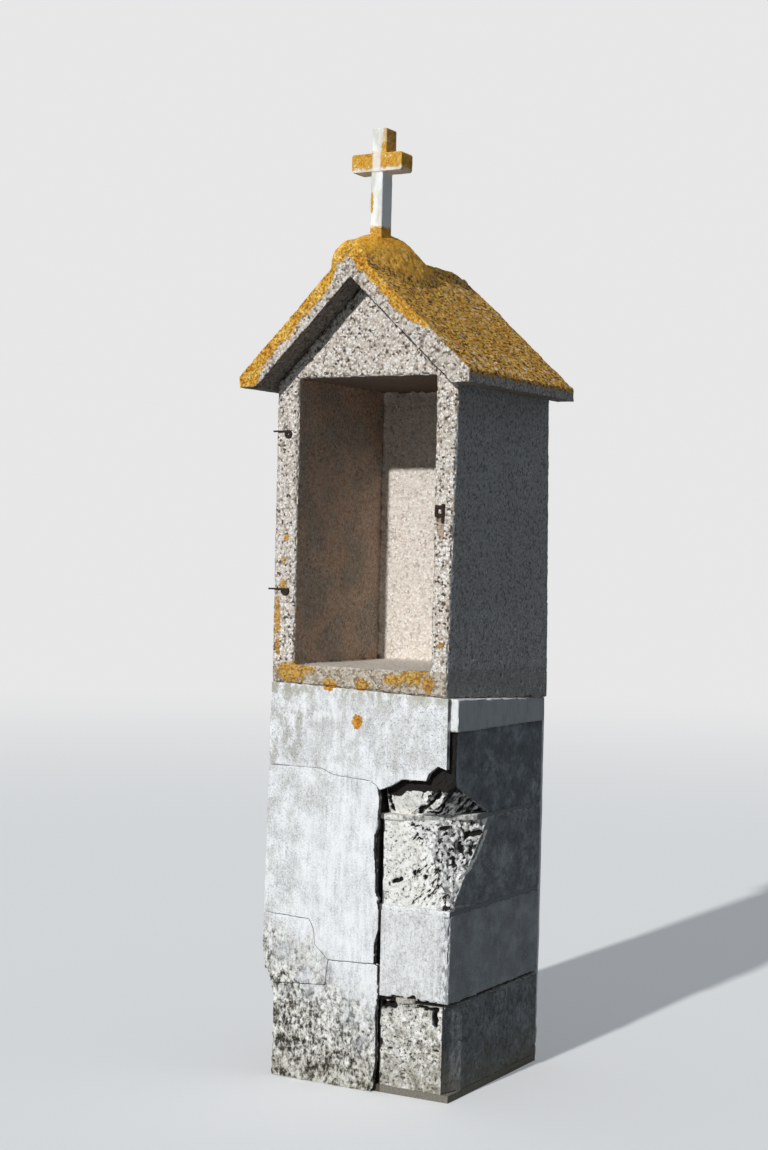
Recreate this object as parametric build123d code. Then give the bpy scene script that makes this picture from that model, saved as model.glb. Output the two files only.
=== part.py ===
"""A weathered concrete wayside shrine: a rendered block pillar, an open niche, a gable roof and a cross.

Millimetres. +X is the viewer's right, +Y runs to the back and +Z is up.
The origin is on the ground, on the niche's vertical axis.
"""
from build123d import *
from math import radians, tan
import os

# Pillar, from the ground up
footing_bed_height = 20.0
course_pitch = 250.0
bed_joint_height = 12.0
course_count = 4
levelling_bed_height = 90.0
left_set_back = 17.0
right_proud = 6.0
front_set_back = 9.0
back_set_back = 2.0
foot_set_in = 13.0
perpend_left = 68.0
perpend_gap = 16.0
right_block_proud = 12.0
right_block_set_back = (11.0, 0.0, 8.0, 12.0)
bed_joint_set_back = (17.0, 3.0, 3.0)
levelling_bed_lip = 6.0

# Worn front right corner of course 1: its run along the front and back along the side
worn_front_run = 22.0
worn_side_run = 78.0

# Slope of the bed that the niche stands on
bed_fall_right = 19.5
bed_fall_back = 22.5

# Broken front right corner, where courses 3 and 4 meet. Each facet takes a share of the height,
# of the run back along the side and of the run along the front
chip_drop = 236.0
chip_climb = 92.0
chip_back_run = 212.0
chip_side_run = 125.0
chip_facets = ((1.0, 1.0, 0.8), (0.58, 0.74, 1.2))
spall_height = 84.0
spall_depth = 26.0

# Render coat
render_thickness = 17.0
left_coat_top = 12.0
left_coat_foot = 24.0
left_coat_end = 296.0

# Niche
box_width = 584.0
box_depth = 568.0
lean_in_front = 24.0
lean_out_back = 20.0
side_wall = 72.0
back_wall_thickness = 80.0
gable_thickness = 72.0
floor_rise = 71.0
opening_height = 810.0
ceiling_thickness = 40.0

# Roof. The depths of the slabs, and of the screed in the left one's depth, are measured plumb
soffit_rise = 265.0
ridge_left_of_axis = 9.0
left_pitch = 44.5
right_pitch = 42.8
slab_depth = 86.0
screed_depth = 46.0
screed_nose = 26.0
eave_overhang = 72.0
eave_edge = 37.0
front_overhang = 89.0
back_overhang = 22.0

# Strip of mortar along the ridge: its sides would meet at the peak, which is rounded off.
# A section is a share of the length with a share of the peak's height
saddle_bedding = 5.0
cap_reach = 46.0
cap_peak = 22.0
cap_radius = 16.0
cap_length = 360.0
cap_sections = ((0.0, 1.0), (0.9, 0.95), (1.0, 0.4))

# Heap of mortar round the foot of the cross: share of the length, reach to the left and right, rise
mound_length = 414.0
mound_sections = ((0.0, 59.0, 66.0, 15.0), (0.18, 72.0, 84.0, 36.0), (0.38, 84.0, 97.0, 57.0),
                  (0.55, 86.0, 99.0, 60.0), (0.72, 80.0, 93.0, 47.0), (0.87, 70.0, 82.0, 23.0),
                  (1.0, 54.0, 60.0, 2.0))

# Shoulders of the mound: share of the drop from crown to foot, and of the reach to the left and right
shoulder_drop = 0.34
left_shoulder_reach = 0.84
right_shoulder_reach = 0.54

# Cross
cross_from_rake = 159.0
cross_left_of_axis = 6.0
cross_bedding = 12.0
cross_foot_width = 37.5
cross_head_width = 46.5
cross_head_shift = 6.0
cross_depth = 58.0
cross_rise = 345.0
arm_span = 160.0
arm_height = 52.0
arm_depth = 64.0
arm_below_top = 69.0
cross_edge = 4.0

# Iron left in the jambs
iron_thickness = 6.0
tail_length = 30.0
eye_radius = 12.0
eye_hole_radius = 3.5
eye_from_edge = 41.0
upper_eye_height = 653.0
lower_eye_height = 209.0
hinge_rod = 5.0
hinge_rod_rise = 8.0
upper_rod_stub = 8.0
lower_rod_stub = 14.0
knuckle_radius = 13.5
knuckle_flat = 7.0
keeper_height = 32.0
keeper_bar = 9.5
keeper_reach = 21.0
keeper_from_edge = 67.0
keeper_centre_height = 439.0
latch_pin_width = 8.0
latch_pin_above = 20.0
latch_pin_below = 32.0

# Faces and levels that follow from the sizes above
half_width = box_width / 2
opening_half = half_width - side_wall
front = -box_depth / 2
back = box_depth / 2
inner_back = back - back_wall_thickness
pillar_left = half_width - left_set_back
pillar_right = half_width + right_proud
pillar_front = front + front_set_back
pillar_back = back - back_set_back
pillar_height = footing_bed_height + course_count * course_pitch - bed_joint_height + levelling_bed_height
bed_high = pillar_height + bed_fall_right + bed_fall_back
bed_low = pillar_height - bed_fall_right - bed_fall_back
coat_front = pillar_front - render_thickness
coat_back = pillar_back + render_thickness
right_block_front = pillar_front - right_block_proud
floor_level = pillar_height + floor_rise
opening_top = floor_level + opening_height
soffit_ridge = opening_top + soffit_rise
ridge = soffit_ridge + slab_depth
rake = front - front_overhang
roof_back = back + back_overhang
left_slope = tan(radians(left_pitch))
right_slope = tan(radians(right_pitch))
eave_half = half_width + eave_overhang
eave_bottom = ridge - right_slope * (eave_half + ridge_left_of_axis) - eave_edge


def box_between(x0, x1, y0, y1, z0, z1):
    """A rectangular block given by its six faces."""
    centre = Pos((x0 + x1) / 2, (y0 + y1) / 2, (z0 + z1) / 2)
    return centre * Box(x1 - x0, y1 - y0, z1 - z0)


def prism(points, y_front, y_back):
    """Extrudes an outline drawn in x and z from y_front to y_back."""
    outline = Polyline(*[(x, y_front, z) for x, z in points], close=True)
    return extrude(make_face(outline), amount=y_back - y_front, dir=(0, 1, 0))


def level(courses):
    """Height of so many courses. A whole number is the top of the bed joint over that course."""
    return footing_bed_height + courses * course_pitch


def block_top(course):
    return level(course) - bed_joint_height


def bed_plane():
    """The sloping top of the pillar, which carries the niche."""
    tilt = (bed_fall_right / box_width, bed_fall_back / box_depth, 1)
    return Plane(origin=(0, 0, pillar_height), z_dir=tilt)


def under_bed(part):
    return split(part, bisect_by=bed_plane(), keep=Keep.BOTTOM)


def break_off(part, tip, on_side, on_front):
    """Takes the front right corner off a block, along the plane through three points."""
    outward = (on_side - tip).cross(on_front - tip)
    if outward.X < 0:
        outward = -outward
    return split(part, bisect_by=Plane(origin=tip, z_dir=outward), keep=Keep.BOTTOM)


def facet(facet_shares, joint, height, edge_front):
    """Three corners of one facet: its tip on the corner edge, and its ends on the side and the front."""
    share, back_share, side_share = facet_shares
    tip = Vector(pillar_right, edge_front, joint + share * height)
    on_side = Vector(pillar_right, edge_front + back_share * chip_back_run, joint)
    on_front = Vector(pillar_right - side_share * chip_side_run, edge_front, joint)
    return tip, on_side, on_front


def chip(part, joint, height, edge_front):
    """Breaks the corner off a block, from the joint to a tip on the block's corner edge."""
    for facet_shares in chip_facets:
        part = break_off(part, *facet(facet_shares, joint, height, edge_front))
    return part


def spall(part, joint, block_front):
    """The face of a block burst off along its lower edge."""
    lean = Plane(origin=(0, block_front, joint + spall_height), z_dir=(0, -spall_height, -spall_depth))
    return split(part, bisect_by=lean, keep=Keep.BOTTOM)


def cut_plumb(part, on_side, on_front):
    """Takes the front right corner off a piece along a plumb plane through two points."""
    return break_off(part, on_side, on_side + Vector(0, 0, 1), on_front)


def pillar_parts():
    """Footing bed, four courses of two blocks, their bed joints and the levelling bed."""
    parts = {}
    foot_left = -pillar_left + foot_set_in
    strip_left = perpend_left + perpend_gap
    parts["footing_bed"] = box_between(foot_left, pillar_right, pillar_front, pillar_back,
                                       0, footing_bed_height)
    for course in range(1, course_count + 1):
        low = level(course - 1)
        left = foot_left if course == 1 else -pillar_left
        block_front = right_block_front + right_block_set_back[course - 1]
        parts[f"course_{course}_left_block"] = box_between(
            left, perpend_left, pillar_front, pillar_back, low, block_top(course))
        parts[f"course_{course}_right_block"] = box_between(
            strip_left, pillar_right, block_front, pillar_back, low, block_top(course))
        if course < course_count:
            recess = bed_joint_set_back[course - 1]
            joint = box_between(left, strip_left, pillar_front, pillar_back, block_top(course), level(course))
            joint += box_between(strip_left, pillar_right - recess, right_block_front + recess, pillar_back,
                                 block_top(course), level(course))
            parts[f"bed_joint_{course}"] = joint
    bed = box_between(-pillar_left, pillar_right + levelling_bed_lip, pillar_front, pillar_back,
                      block_top(course_count), bed_high)
    parts["levelling_bed"] = under_bed(bed)
    break_corner(parts)
    return parts


def break_corner(parts):
    """Cuts the broken corner through courses 3 and 4 and their joint, and the worn corner of course 1."""
    first_front = right_block_front + right_block_set_back[0]
    worn_side = Vector(pillar_right, first_front + worn_side_run, 0)
    worn_front = Vector(pillar_right - worn_front_run, first_front, 0)
    for name in ("course_1_right_block", "bed_joint_1"):
        parts[name] = cut_plumb(parts[name], worn_side, worn_front)
    lower_front = right_block_front + right_block_set_back[2]
    upper_front = right_block_front + right_block_set_back[3]
    lower = parts["course_3_right_block"]
    parts["course_3_right_block"] = chip(lower, block_top(3), -chip_drop, lower_front)
    upper = chip(parts["course_4_right_block"], level(3), chip_climb, upper_front)
    parts["course_4_right_block"] = spall(upper, level(3), upper_front)
    _, on_side, on_front = facet(chip_facets[1], block_top(3), -chip_drop, lower_front)
    parts["bed_joint_3"] = cut_plumb(parts["bed_joint_3"], on_side, on_front)


def coat_left(z):
    """Outer face of the left coat, which thickens towards its foot."""
    share = (pillar_height - z) / (pillar_height - left_coat_end)
    return -pillar_left - left_coat_top - (left_coat_foot - left_coat_top) * share


def across(share):
    """X on the front coat: 0 to 1 spans the left blocks, 1 to 2 the right ones."""
    span = perpend_left + pillar_left if share < 1 else pillar_right - perpend_left
    return perpend_left + (share - 1) * span


def crack(points):
    """A crack's points, each given by its place across the coat and its height in courses."""
    return [(across(share), level(courses)) for share, courses in points]


def gap_crack(points):
    """The same along the open perpend, where 0 and 1 are the gap's two sides."""
    return [(perpend_left + share * perpend_gap, level(courses)) for share, courses in points]


def on_left_edge(courses):
    """The point on the coat's left edge at a height in courses."""
    return coat_left(level(courses)), level(courses)


def render_parts():
    """The render coat in the pieces that its cracks leave."""
    head_left = on_left_edge(3.456)
    head_crack = crack([(0.464, 3.456), (0.586, 3.392), (0.936, 3.36)])
    crack_head = gap_crack([(-0.125, 3.304)])
    wide_crack = gap_crack([(0.375, 3.16), (0.125, 2.94), (-0.44, 2.76), (-0.5, 2.6), (-0.125, 2.388),
                            (-0.06, 2.164), (0.625, 1.948), (0.69, 1.728), (-0.06, 1.556), (-0.06, 1.34)])
    foot_joint = crack([(0.568, 1.316)])
    patch_crack = crack([(0.443, 1.464), (0.42, 1.652), (0.379, 1.748), (0.204, 1.756)])
    patch_head = on_left_edge(1.772)
    patch_foot = crack([(0.545, 1.032), (0.015, 0.976), (-0.032, 1.164)])
    patch_left = on_left_edge(1.376)
    foot_left = [*crack([(0.05, 0.812)]), (across(0.038), 0)]
    foot_crack = gap_crack([(0.75, 1.328), (0.81, 0.956), (0.5, 0.92), (0.75, 0.292)])
    band_edge = gap_crack([(0.375, 3.264)]) + crack([(1.209, 3.272), (1.317, 3.336), (1.657, 3.348),
                                                     (1.691, 3.428), (1.809, 3.512), (1.93, 3.54)])
    band_right = band_edge[-1][0]
    coat_foot = (-pillar_left + foot_set_in, 0)
    step = (-pillar_left + foot_set_in, level(1))

    band = [head_left, *head_crack, *crack_head, *band_edge, (band_right, bed_high),
            (coat_left(bed_high), bed_high)]
    sheet = [head_left, *head_crack, *crack_head, *wide_crack, *foot_joint, *patch_crack, patch_head]
    patch = [patch_head, *reversed(patch_crack), *foot_joint, *patch_foot, patch_left]
    foot = [wide_crack[-1], *foot_joint, *patch_foot[:-1], *foot_left, (perpend_left, 0), *reversed(foot_crack)]
    left_edge = [(coat_left(bed_high), bed_high), (coat_left(left_coat_end), left_coat_end)]
    back_outline = [*left_edge, step, coat_foot, (pillar_right, 0), (pillar_right, bed_high)]
    left_outline = [(-pillar_left, bed_high), *left_edge, (-pillar_left, left_coat_end)]
    return {
        "front_render_band": under_bed(prism(band, coat_front, pillar_front)),
        "front_render_sheet": prism(sheet, coat_front, pillar_front),
        "front_render_patch": prism(patch, coat_front, pillar_front),
        "front_render_foot": prism(foot, coat_front, pillar_front),
        "back_render": under_bed(prism(back_outline, pillar_back, coat_back)),
        "left_render": under_bed(prism(left_outline, pillar_front, pillar_back)),
    }


def soffit(x):
    """Height of the underside of the roof slabs, without the level cut at the eaves."""
    from_ridge = x + ridge_left_of_axis
    return soffit_ridge + (left_slope if from_ridge < 0 else -right_slope) * from_ridge


def slab_top(x):
    """Height of the upper side of the roof slabs."""
    return soffit(x) + slab_depth


def niche_hull():
    """Outer faces of the niche. Its right side leans in at the front and out at the back."""
    outlines = []
    for height, lean_front, lean_back in ((bed_low, lean_in_front, lean_out_back), (soffit_ridge, 0, 0)):
        corners = ((-half_width, front, height), (half_width - lean_front, front, height),
                   (half_width + lean_back, back, height), (-half_width, back, height))
        outlines.append(make_face(Polyline(*corners, close=True)))
    return loft(outlines, ruled=True)


def over_bed(part):
    return split(part, bisect_by=bed_plane(), keep=Keep.TOP)


def niche_parts():
    """Floor slab, two side walls, back wall, ceiling and the two gables."""
    far = half_width + lean_out_back
    left_outline = [(-half_width, bed_low), (-opening_half, bed_low),
                    (-opening_half, soffit(-opening_half)), (-half_width, soffit(-half_width))]
    right_outline = [(opening_half, bed_low), (far, bed_low),
                     (far, soffit(far)), (opening_half, soffit(opening_half))]
    gable = [(-opening_half, opening_top), (opening_half, opening_top),
             (opening_half, soffit(opening_half)), (-ridge_left_of_axis, soffit_ridge),
             (-opening_half, soffit(-opening_half))]
    floor = box_between(-opening_half, opening_half, front, inner_back, bed_low, floor_level)
    back_wall = box_between(-opening_half, opening_half, inner_back, back, bed_low, opening_top)
    return {
        "floor_slab": over_bed(floor),
        "left_wall": over_bed(prism(left_outline, front, back)),
        "right_wall": over_bed(niche_hull() & prism(right_outline, front, back)),
        "back_wall": over_bed(back_wall),
        "front_gable": prism(gable, front, front + gable_thickness),
        "rear_gable": prism(gable, inner_back, back),
        "ceiling_slab": box_between(-opening_half, opening_half, front + gable_thickness, inner_back,
                                    opening_top, opening_top + ceiling_thickness),
    }


def roof_slab(end, slope, cover):
    """One pitched slab, cut plumb and level at its eave end, with so much cover laid over it."""
    peak = -ridge_left_of_axis
    heel = peak + (soffit_ridge - eave_bottom) / slope
    outline = [(peak, ridge - cover), (end, slab_top(end) - cover), (end, eave_bottom),
               (heel, eave_bottom), (peak, soffit_ridge)]
    return prism(outline, rake, roof_back)


def roof_screed():
    """The mortar laid over the left slab, with a nose down over its eave."""
    peak = -ridge_left_of_axis
    eave = -eave_half
    end = eave + screed_nose
    outline = [(peak, ridge), (eave, slab_top(eave)), (eave, eave_bottom), (end, eave_bottom),
               (end, slab_top(end) - screed_depth), (peak, ridge - screed_depth)]
    return prism(outline, rake, roof_back)


def feet(y, reach_left, reach_right):
    """Where mortar laid over the ridge dips into the left and right slopes."""
    left = -ridge_left_of_axis - reach_left
    right = -ridge_left_of_axis + reach_right
    return (left, y, slab_top(left) - saddle_bedding), (right, y, slab_top(right) - saddle_bedding)


def saddle_face(y, left_foot, right_foot, over):
    """Closes a curve over the ridge with a keel below it, which the roof then cuts away."""
    keel = (-ridge_left_of_axis, y, ridge - 4 * saddle_bedding)
    return make_face([over, Polyline(right_foot, keel, left_foot)])


def cap_section(y, share):
    left_foot, right_foot = feet(y, cap_reach, cap_reach)
    peak = (-ridge_left_of_axis, y, ridge + share * cap_peak)
    over = FilletPolyline(left_foot, peak, right_foot, radius=share * cap_radius)
    return saddle_face(y, left_foot, right_foot, over)


def ridge_cap():
    """A rounded strip of mortar along the ridge, from under the mound to the back, where it runs out."""
    sections = [cap_section(roof_back - (1 - along) * cap_length, share) for along, share in cap_sections]
    return loft(sections, ruled=True)


def mound_section(y, reach_left, reach_right, rise):
    """A section of the mound, with a steep left flank and a sloping right one."""
    left_foot, right_foot = feet(y, reach_left, reach_right)
    middle = -ridge_left_of_axis
    crown = ridge + rise
    left_shoulder = (middle - left_shoulder_reach * reach_left, y,
                     crown - shoulder_drop * (crown - left_foot[2]))
    right_shoulder = (middle + right_shoulder_reach * reach_right, y,
                      crown - shoulder_drop * (crown - right_foot[2]))
    over = Spline(left_foot, left_shoulder, (middle, y, crown), right_shoulder, right_foot)
    return saddle_face(y, left_foot, right_foot, over)


def mound_body():
    """The heap of mortar round the foot of the cross, before its underside is cut to the roof."""
    sections = [mound_section(rake + along * mound_length, *reach_and_rise)
                for along, *reach_and_rise in mound_sections]
    return loft(sections)


def cross_body():
    """Post, head and arms of the cross, cast in one piece."""
    middle = rake + cross_from_rake
    centre = -cross_left_of_axis
    top = ridge + cross_rise
    arm_top = top - arm_below_top
    half_depth = cross_depth / 2
    head_centre = centre + cross_head_shift
    post = box_between(centre - cross_foot_width / 2, centre + cross_foot_width / 2,
                       middle - half_depth, middle + half_depth, ridge + cross_bedding, arm_top)
    head = box_between(head_centre - cross_head_width / 2, head_centre + cross_head_width / 2,
                       middle - half_depth, middle + half_depth, arm_top - arm_height / 2, top)
    arms = box_between(centre - arm_span / 2, centre + arm_span / 2, middle - arm_depth / 2,
                       middle + arm_depth / 2, arm_top - arm_height, arm_top)
    ends = arms.edges().filter_by(Axis.Y)
    return post + head + chamfer(ends, cross_edge)


def roof_parts():
    """Two slabs, the screed over the left one, the ridge cap, the mound and the cross."""
    parts = {
        "left_roof_slab": roof_slab(screed_nose - eave_half, -left_slope, screed_depth),
        "right_roof_slab": roof_slab(eave_half, right_slope, 0),
        "left_roof_screed": roof_screed(),
    }
    carriers = list(parts.values())
    cap = ridge_cap().cut(*carriers)
    cross = cross_body()
    parts["ridge_cap"] = cap
    parts["cross_mound"] = mound_body().cut(*carriers, cap, cross)
    parts["cross"] = cross
    return parts


def tail(x, z):
    """A square iron tail let into the jamb."""
    half = iron_thickness / 2
    return box_between(x - half, x + half, front, front + tail_length, z - half, z + half)


def disc(x, z, radius):
    """A round iron lug that lies on the front face."""
    return Pos(x, front - iron_thickness / 2, z) * Rot(90, 0, 0) * Cylinder(radius, iron_thickness)


def hinge_rod_bar(x_end, x_eye, z):
    half = hinge_rod / 2
    return box_between(x_end, x_eye, front - iron_thickness, front - iron_thickness + hinge_rod,
                       z - half, z + half)


def upper_hinge_eye():
    """An eye with its rod, which sticks out past the wall, and the tail that holds it."""
    x = -half_width + eye_from_edge
    z = floor_level + upper_eye_height
    eye = disc(x, z, eye_radius)
    eye += hinge_rod_bar(-half_width - upper_rod_stub, x, z + hinge_rod_rise)
    return eye - disc(x, z, eye_hole_radius), tail(x, z + hinge_rod_rise)


def lower_hinge_knuckle():
    """A hinge knuckle with a flat top, its rod and its tail."""
    x = -half_width + eye_from_edge
    z = floor_level + lower_eye_height
    top = z + knuckle_flat
    blank = disc(x, z, knuckle_radius)
    cut = box_between(x - eye_from_edge, x + eye_from_edge, front - 2 * iron_thickness, front + iron_thickness,
                      top, top + knuckle_radius)
    rod = hinge_rod_bar(-half_width - lower_rod_stub, x, top - hinge_rod / 2)
    return (blank - cut) + rod, tail(x, z)


def latch_keeper():
    """A C-shaped keeper, closed on its right side by the latch pin."""
    left = half_width - keeper_from_edge
    z = floor_level + keeper_centre_height
    half = keeper_height / 2
    inner = half - keeper_bar
    plate = box_between(left, left + keeper_reach, front - iron_thickness, front, z - half, z + half)
    plate -= box_between(left + keeper_bar, left + keeper_reach, front - iron_thickness, front,
                         z - inner, z + inner)
    return plate, tail(left + keeper_bar / 2, z)


def iron_parts(niche):
    """Hinge remains on the left jamb and the latch on the right one, let into the walls."""
    eye, eye_tail = upper_hinge_eye()
    knuckle, knuckle_tail = lower_hinge_knuckle()
    keeper, keeper_tail = latch_keeper()
    niche["left_wall"] -= eye_tail + knuckle_tail
    niche["right_wall"] -= keeper_tail
    pin_left = half_width - keeper_from_edge + keeper_reach
    z = floor_level + keeper_centre_height
    pin = box_between(pin_left, pin_left + latch_pin_width, front - latch_pin_width, front,
                      z - latch_pin_below, z + latch_pin_above)
    return {
        "upper_hinge_eye": eye + eye_tail,
        "lower_hinge_knuckle": knuckle + knuckle_tail,
        "latch_keeper": keeper + keeper_tail,
        "latch_pin": pin,
    }


def main():
    parts = {**pillar_parts(), **render_parts(), **niche_parts(), **roof_parts()}
    parts.update(iron_parts(parts))
    os.makedirs("parts", exist_ok=True)
    for name, part in parts.items():
        export_step(part, f"parts/{name}.step")
        print(f"{name}: {len(part.solids())} solid, {part.volume / 1e6:.3f} litres")


main()
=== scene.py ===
import bmesh
import bpy
from math import pi, radians, tan
from mathutils import Matrix, Vector, noise


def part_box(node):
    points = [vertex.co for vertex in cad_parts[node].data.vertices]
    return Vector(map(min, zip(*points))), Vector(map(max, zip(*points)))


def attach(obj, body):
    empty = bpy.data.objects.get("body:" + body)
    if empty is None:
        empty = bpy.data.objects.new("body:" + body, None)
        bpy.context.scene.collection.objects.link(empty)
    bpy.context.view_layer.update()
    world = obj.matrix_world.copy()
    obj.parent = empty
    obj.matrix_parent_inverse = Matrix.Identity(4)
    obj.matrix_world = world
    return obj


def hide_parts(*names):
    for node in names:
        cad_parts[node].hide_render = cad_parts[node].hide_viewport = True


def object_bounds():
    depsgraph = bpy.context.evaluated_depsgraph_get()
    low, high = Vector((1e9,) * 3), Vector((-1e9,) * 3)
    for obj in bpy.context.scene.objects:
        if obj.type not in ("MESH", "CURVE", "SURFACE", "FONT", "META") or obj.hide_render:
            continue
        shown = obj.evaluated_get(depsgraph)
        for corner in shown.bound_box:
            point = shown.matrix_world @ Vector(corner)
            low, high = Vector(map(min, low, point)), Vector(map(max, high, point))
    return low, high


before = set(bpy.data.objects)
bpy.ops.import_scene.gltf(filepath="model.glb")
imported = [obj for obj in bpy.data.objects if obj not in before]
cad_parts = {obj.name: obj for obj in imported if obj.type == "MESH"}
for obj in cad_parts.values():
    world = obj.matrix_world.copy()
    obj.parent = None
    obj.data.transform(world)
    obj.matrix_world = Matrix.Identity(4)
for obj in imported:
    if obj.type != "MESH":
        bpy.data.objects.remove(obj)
cad_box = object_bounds()
scene = bpy.context.scene

# The photographer's eye, in metres, degrees and pixels of the photograph
EYE = Vector((2.7532, -5.0448, 1.4902))
EYE_TURN = 29.418
EYE_LIFT = -0.63
EYE_ROLL = 1.271
PHOTO_HEIGHT_PX = 1150
FOCAL_PX = 1980.95
SENSOR_MM = 36.0

# Light: a low sun from straight ahead, a weak wide lamp overhead and a dim even sky
SUN_POWER = 2.95
SUN_LEFT = 3.0
SUN_LIFT = 26.0
SUN_SPREAD = 1.5
TOP_POWER = 0.42
TOP_SPREAD = 100.0
SKY_POWER = 0.14
SKY_TINT = (0.64, 0.83, 1.0, 1.0)

# Floor: what it throws back on to the shrine, and how pale it and the distance look
FLOOR_BOUNCE = 0.32
FLOOR_TONE = 0.80
FLOOR_GLOW = 0.14
FAR_TONE = 0.80
NEAR_REACH = 4.0
FAR_REACH = 16.0
FLOOR_REACH = 150.0

# Width of the squares that each kind of piece is meshed with, in metres,
# and the share of its triangles that stays when its flat stretches are thinned
NICHE_GRAIN, NICHE_KEPT = 0.005, 0.42
ROOF_GRAIN, ROOF_KEPT = 0.0045, 0.62
BLOCK_GRAIN, BLOCK_KEPT = 0.003, 0.30
JOINT_GRAIN, JOINT_KEPT = 0.003, 0.12
BED_GRAIN, BED_KEPT = 0.004, 0.30
COAT_GRAIN, COAT_KEPT = 0.003, 0.42
PLAIN_COAT_GRAIN, PLAIN_COAT_KEPT = 0.005, 0.40
CROSS_GRAIN, CROSS_KEPT = 0.002, 0.60
IRON_GRAIN, IRON_KEPT = 0.0009, 0.60

NICHE_NODES = ("floor_slab", "left_wall", "right_wall", "back_wall", "front_gable", "rear_gable", "ceiling_slab")
ROOF_NODES = ("left_roof_slab", "right_roof_slab", "left_roof_screed", "ridge_cap", "cross_mound")
MERGE = 1e-5
COAT_LAP = 0.009
JOINT_LAP = 0.002
BROKEN_EDGE_TOP = 0.90
BROKEN_EDGE_LIFT = 0.016
CORNER_ROUNDING = 14
SHARP_EDGE = radians(50)

# Levels and faces read from the frame
NICHE_LOW, NICHE_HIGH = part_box("floor_slab")
WALL_LOW, WALL_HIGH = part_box("left_wall")
ROOF_LOW, ROOF_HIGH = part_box("right_roof_slab")
BED_LOW, BED_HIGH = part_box("levelling_bed")
BAND_LOW, BAND_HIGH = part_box("front_render_band")
CROSS_LOW, CROSS_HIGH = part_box("cross")
KEEPER_LOW, KEEPER_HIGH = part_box("latch_keeper")
COURSE_TOPS = [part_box(f"course_{course}_right_block")[1].z for course in (1, 2, 3, 4)]
FRONT = NICHE_LOW.y
FLOOR = NICHE_HIGH.z
INSIDE_HALF = NICHE_HIGH.x
INSIDE_BACK = NICHE_HIGH.y
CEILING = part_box("ceiling_slab")[0].z
RIDGE = ROOF_HIGH.z
RIDGE_X = ROOF_LOW.x
EAVE_EDGE = 0.037
RIGHT_SLOPE = (RIDGE - ROOF_LOW.z - EAVE_EDGE) / (ROOF_HIGH.x - RIDGE_X)
LEFT_SLOPE = tan(radians(44.5))
COAT_FACE = BAND_LOW.y
COAT_LEFT = BAND_LOW.x
FOOT_EDGE = 0.03
RIGHT_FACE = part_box("course_2_right_block")[1].x
BLOCK_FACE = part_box("course_2_right_block")[0].y
JOINT_MORTAR = BLOCK_FACE + 0.006
GAP_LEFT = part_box("course_2_left_block")[1].x
GAP_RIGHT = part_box("course_2_right_block")[0].x
ARM_TOP = CROSS_HIGH.z - 0.069
ARM_LOW = ARM_TOP - 0.052


def hue(code):
    """A colour as it looks on a screen, turned into the linear values of a shader."""
    channels = [int(code[at:at + 2], 16) / 255 for at in (0, 2, 4)]
    return (*[((c + 0.055) / 1.055) ** 2.4 if c > 0.04045 else c / 12.92 for c in channels], 1.0)


class Value:
    """A socket of a finish, which sums are written with as with a number."""

    def __init__(self, finish, socket):
        self.finish = finish
        self.socket = socket

    def __add__(self, other):
        return self.finish.sum("ADD", self, other)

    def __sub__(self, other):
        return self.finish.sum("SUBTRACT", self, other)

    def __rsub__(self, other):
        return self.finish.sum("SUBTRACT", other, self)

    def __mul__(self, other):
        return self.finish.sum("MULTIPLY", self, other)

    __radd__ = __add__
    __rmul__ = __mul__

    def output(self, name):
        """Another output of the same node."""
        return Value(self.finish, self.socket.node.outputs[name])


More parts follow.
